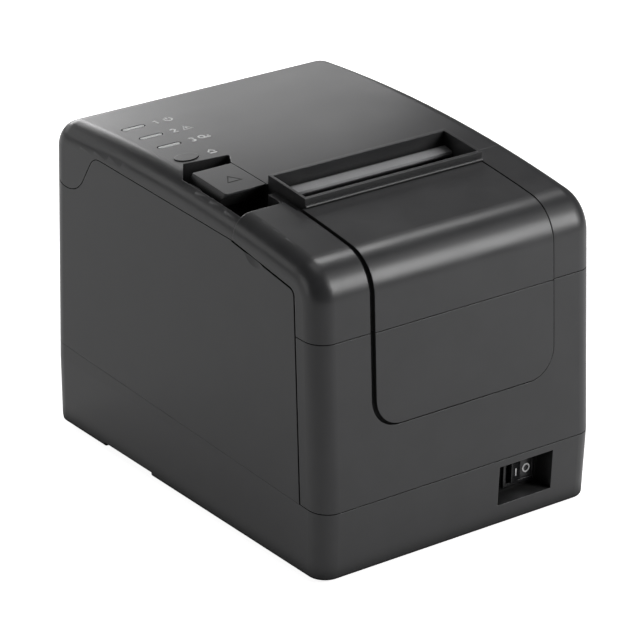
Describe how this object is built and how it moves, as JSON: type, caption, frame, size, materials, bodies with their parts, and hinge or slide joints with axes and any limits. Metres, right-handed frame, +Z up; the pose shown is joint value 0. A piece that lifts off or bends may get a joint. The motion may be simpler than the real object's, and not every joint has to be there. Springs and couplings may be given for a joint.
{
  "type": "receipt printer",
  "caption": "Box-shaped thermal receipt printer with a domed hinged lid, finger pocket and lever, framed paper slot and raised front panel.",
  "frame": {"origin": "centre of the resting plane under the rubber feet", "axes": "+X towards the side away from the lever, +Y from the slotted front to the hinged rear, +Z up"},
  "size_m": [0.145, 0.195, 0.1474],
  "materials": {
    "case_plastic": "fine-textured satin charcoal",
    "grey_plastic": "satin",
    "rubber": "matt",
    "steel": "satin",
    "sheet_steel": "zinc plated",
    "gear_plastic": "satin",
    "aluminium": "satin",
    "ceramic": "glossy ceramic",
    "circuit_board": "satin lacquer",
    "black_plastic": "satin",
    "motor_can": "satin",
    "window": "milky",
    "switch_plastic": "glossy",
    "ribbon": "satin",
    "socket_metal": "plated"
  },
  "bodies": {
    "printer_body": {"base_tray": "case_plastic", "rubber_feet": "rubber", "main_case": "case_plastic", "lower_front_cover": "case_plastic", "upper_front_cover": "case_plastic", "paper_bay": "black_plastic", "hinge_pins": "steel", "mechanism_frame": "sheet_steel", "latch_catches": "steel", "head_pivot": "steel", "head_springs": "steel", "feed_motor": "motor_can", "gear_stud": "steel", "cutter_base": "sheet_steel", "cutter_motor": "motor_can", "paper_sensor": "black_plastic", "main_board": "circuit_board", "board_chips": "black_plastic", "ribbon_socket": "gear_plastic", "head_ribbon": "ribbon", "power_inlet": "black_plastic", "usb_socket": "gear_plastic", "network_socket": "socket_metal", "drawer_socket": "black_plastic", "switch_body": "switch_plastic", "case_screws": "steel", "frame_screws": "steel", "board_screws": "steel"},
    "paper_lid": {"paper_lid": "case_plastic", "slot_frame": "case_plastic", "tear_bar": "grey_plastic", "platen_holder": "sheet_steel", "platen_bushes": "gear_plastic", "fixed_blade": "steel", "latch_spring": "steel", "indicator_board": "circuit_board", "indicator_windows": "window", "feed_switch": "black_plastic"},
    "platen": {"platen_roller": "rubber", "platen_shaft": "steel", "platen_gear": "gear_plastic"},
    "open_latch": {"open_lever": "case_plastic", "latch_shaft": "steel", "latch_hooks": "sheet_steel"},
    "feed_button": {"feed_button": "case_plastic"},
    "print_head": {"print_head": "ceramic", "head_heatsink": "aluminium"},
    "motor_pinion": {"motor_pinion": "steel"},
    "reduction_gear": {"reduction_gear": "gear_plastic"},
    "moving_blade": {"moving_blade": "steel"},
    "cutter_pinion": {"cutter_pinion": "gear_plastic"},
    "power_rocker": {"power_rocker": "switch_plastic"}
  },
  "joints": [
    {"name": "lid_hinge", "type": "hinge", "parent": "printer_body", "child": "paper_lid", "pos_m": [0.0036, 0.085, 0.1284], "axis": [-1, 0, 0], "range_deg": [0, 88]},
    {"name": "latch_turn", "type": "hinge", "parent": "paper_lid", "child": "open_latch", "pos_m": [0.0036, -0.0055, 0.124], "axis": [-1, 0, 0], "range_deg": [0, 14], "stiffness_Nm_per_rad": 0.15, "springref_deg": -20.05},
    {"name": "button_press", "type": "slide", "parent": "paper_lid", "child": "feed_button", "axis": [0, 0, -1], "range_m": [0, 0.0004], "stiffness_N_per_m": 500, "springref_m": -0.001},
    {"name": "platen_turn", "type": "hinge", "parent": "paper_lid", "child": "platen", "pos_m": [0.0036, -0.024, 0.118], "axis": [1, 0, 0], "continuous": true},
    {"name": "reduction_turn", "type": "hinge", "parent": "printer_body", "child": "reduction_gear", "pos_m": [0.059, -0.032, 0.10414], "axis": [1, 0, 0], "continuous": true},
    {"name": "motor_turn", "type": "hinge", "parent": "printer_body", "child": "motor_pinion", "pos_m": [0.05, -0.04347, 0.08776], "axis": [1, 0, 0], "continuous": true},
    {"name": "head_tilt", "type": "hinge", "parent": "printer_body", "child": "print_head", "pos_m": [0.0036, -0.0365, 0.1075], "axis": [1, 0, 0], "range_deg": [0, 1], "stiffness_Nm_per_rad": 0.5, "springref_deg": -5.73},
    {"name": "blade_slide", "type": "slide", "parent": "printer_body", "child": "moving_blade", "axis": [0, 1, 0], "range_m": [0, 0.008]},
    {"name": "cutter_turn", "type": "hinge", "parent": "printer_body", "child": "cutter_pinion", "pos_m": [-0.0164, -0.058, 0.1262], "axis": [0, 0, 1], "range_deg": [0, 57.4]},
    {"name": "power_rock", "type": "hinge", "parent": "printer_body", "child": "power_rocker", "pos_m": [0.0384, -0.0856, 0.0198], "axis": [0, 0, -1], "range_deg": [0, 16]}
  ],
  "couplings": [
    {"joint": "reduction_turn", "follows": "platen_turn", "ratio": -1.2222},
    {"joint": "motor_turn", "follows": "platen_turn", "ratio": 3.1429},
    {"joint": "cutter_turn", "follows": "blade_slide", "rad_per_m": 125}
  ]
}
